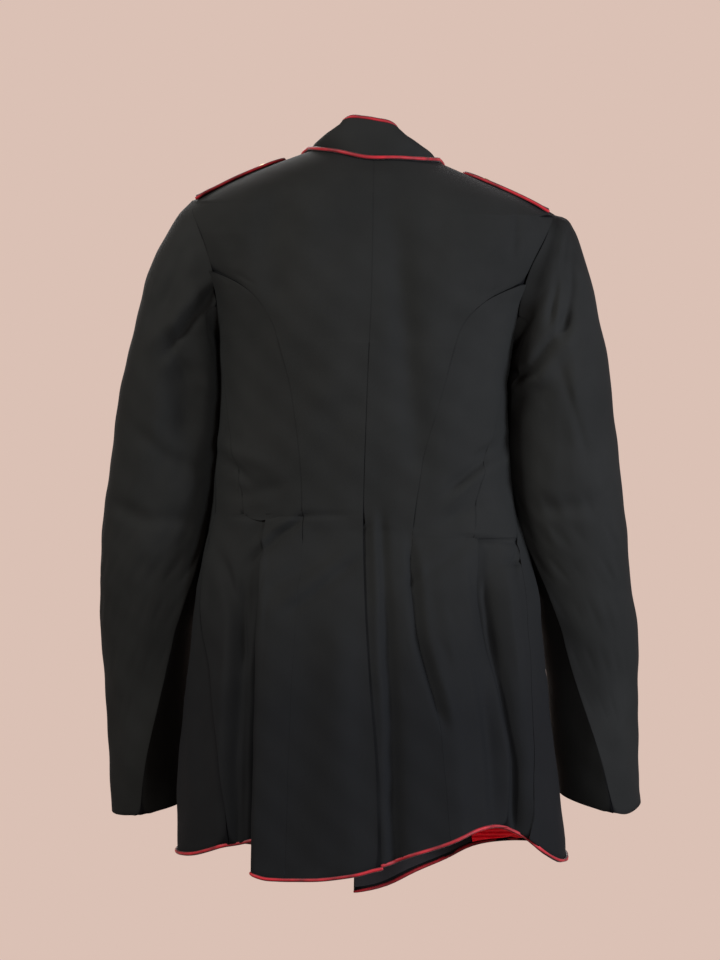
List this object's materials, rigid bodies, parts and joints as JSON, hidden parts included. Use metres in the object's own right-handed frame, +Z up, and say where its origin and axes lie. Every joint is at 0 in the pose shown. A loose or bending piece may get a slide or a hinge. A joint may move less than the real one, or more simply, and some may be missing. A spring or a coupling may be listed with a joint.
{
  "type": "military jacket",
  "caption": "Fitted dress jacket of dark wool with a stand collar, red piping, shoulder straps and a vented skirt, hollow and upright as when worn.",
  "frame": {"origin": "between the shoulders at the level of the neck's sides, where the wearer's shoulders carry the jacket", "axes": "+Z up the jacket, -Y out of its front, +X to the wearer's left"},
  "size_m": [0.5619, 0.2733, 0.8144],
  "materials": {
    "wool": "fine wool twill, near black, soft sheen",
    "piping": "wool covered cord, bright red",
    "lining": "satin lining, red",
    "buttons": "plain domed, polished"
  },
  "bodies": {
    "root": {"back_left": "wool", "back_right": "wool", "side_back_left": "wool", "side_back_right": "wool", "side_left": "wool", "side_right": "wool", "skirt_back_left": "wool", "skirt_back_right": "wool", "skirt_side_left": "wool", "skirt_side_right": "wool", "front_left": "wool", "front_right": "wool", "top_sleeve_left": "wool", "top_sleeve_right": "wool", "under_sleeve_left": "wool", "under_sleeve_right": "wool", "shoulder_strap_left": "wool", "shoulder_strap_right": "wool", "collar": "wool", "facing_right": "wool", "lining_right": "lining", "collar_piping": "piping", "neck_piping": "piping", "strap_piping_left": "piping", "strap_piping_right": "piping", "hem_piping_back_left": "piping", "hem_piping_back_right": "piping", "hem_piping_side_left": "piping", "hem_piping_side_right": "piping", "strap_button_left": "buttons", "strap_button_right": "buttons", "front_button_1": "buttons", "front_button_2": "buttons", "front_button_3": "buttons", "front_button_4": "buttons", "front_button_5": "buttons", "front_button_6": "buttons"}
  },
  "joints": []
}
